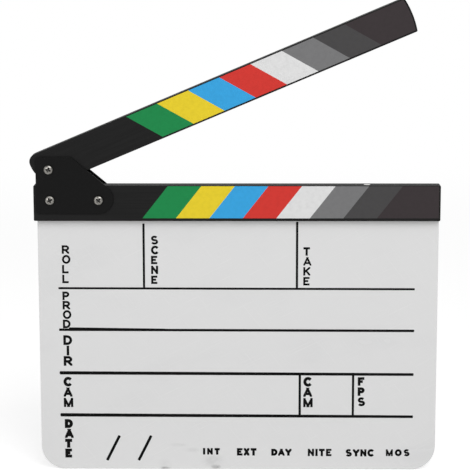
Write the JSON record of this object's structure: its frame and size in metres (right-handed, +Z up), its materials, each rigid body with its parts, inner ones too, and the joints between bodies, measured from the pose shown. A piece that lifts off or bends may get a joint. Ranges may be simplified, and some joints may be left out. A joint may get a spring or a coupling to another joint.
{
  "type": "clapperboard",
  "caption": "Hand-held film slate: a white writing board hung from a striped stick, with a second striped stick that claps down on it from a screw pivot between two hinge plates.",
  "frame": {"origin": "middle of the board's bottom edge, halfway through its thickness", "axes": "+Z up the board, +X to the reader's right along the sticks, +Y away from the reader (the written face looks along -Y)"},
  "size_m": [0.3026, 0.0245, 0.3543],
  "materials": {
    "white_acrylic": "white acrylic sheet, dry-erase gloss",
    "clear_adhesive": "set acrylic adhesive",
    "black_stick": "matt black paint on hardwood",
    "black_plate": "satin black coat on steel",
    "brass_sleeve": "turned",
    "natural_nylon": "natural nylon",
    "nickel_screw": "bright nickel plate",
    "zinc_steel": "bright zinc plate",
    "nickel_magnet": "nickel plate",
    "green_film": "satin vinyl film",
    "yellow_film": "satin vinyl film",
    "blue_film": "satin vinyl film",
    "red_film": "satin vinyl film",
    "white_film": "satin vinyl film",
    "grey_film": "satin vinyl film",
    "dark_grey_film": "satin vinyl film",
    "black_film": "satin vinyl film"
  },
  "bodies": {
    "slate": {"writing_board": "white_acrylic", "board_bond": "clear_adhesive", "lower_stick": "black_stick", "front_hinge_plate": "black_plate", "rear_hinge_plate": "black_plate", "pivot_sleeve": "brass_sleeve", "front_friction_washer": "natural_nylon", "rear_friction_washer": "natural_nylon", "pivot_screw": "nickel_screw", "left_fixing_screw": "nickel_screw", "right_fixing_screw": "nickel_screw", "pivot_washer": "zinc_steel", "left_fixing_washer": "zinc_steel", "right_fixing_washer": "zinc_steel", "pivot_nut": "zinc_steel", "left_fixing_nut": "zinc_steel", "right_fixing_nut": "zinc_steel", "pivot_nut_insert": "natural_nylon", "lower_magnet": "nickel_magnet", "lower_stripe_green": "green_film", "lower_stripe_yellow": "yellow_film", "lower_stripe_blue": "blue_film", "lower_stripe_red": "red_film", "lower_stripe_white": "white_film", "lower_stripe_grey": "grey_film", "lower_stripe_dark_grey": "dark_grey_film", "lower_stripe_black": "black_film"},
    "clapper": {"upper_stick": "black_stick", "upper_magnet": "nickel_magnet", "upper_stripe_green": "green_film", "upper_stripe_yellow": "yellow_film", "upper_stripe_blue": "blue_film", "upper_stripe_red": "red_film", "upper_stripe_white": "white_film", "upper_stripe_grey": "grey_film", "upper_stripe_dark_grey": "dark_grey_film", "upper_stripe_black": "black_film"}
  },
  "joints": [
    {"name": "clap", "type": "hinge", "parent": "slate", "child": "clapper", "pos_m": [-0.13915, 0, 0.22955], "axis": [0, -1, 0], "range_deg": [-22.85, 67.15]}
  ]
}
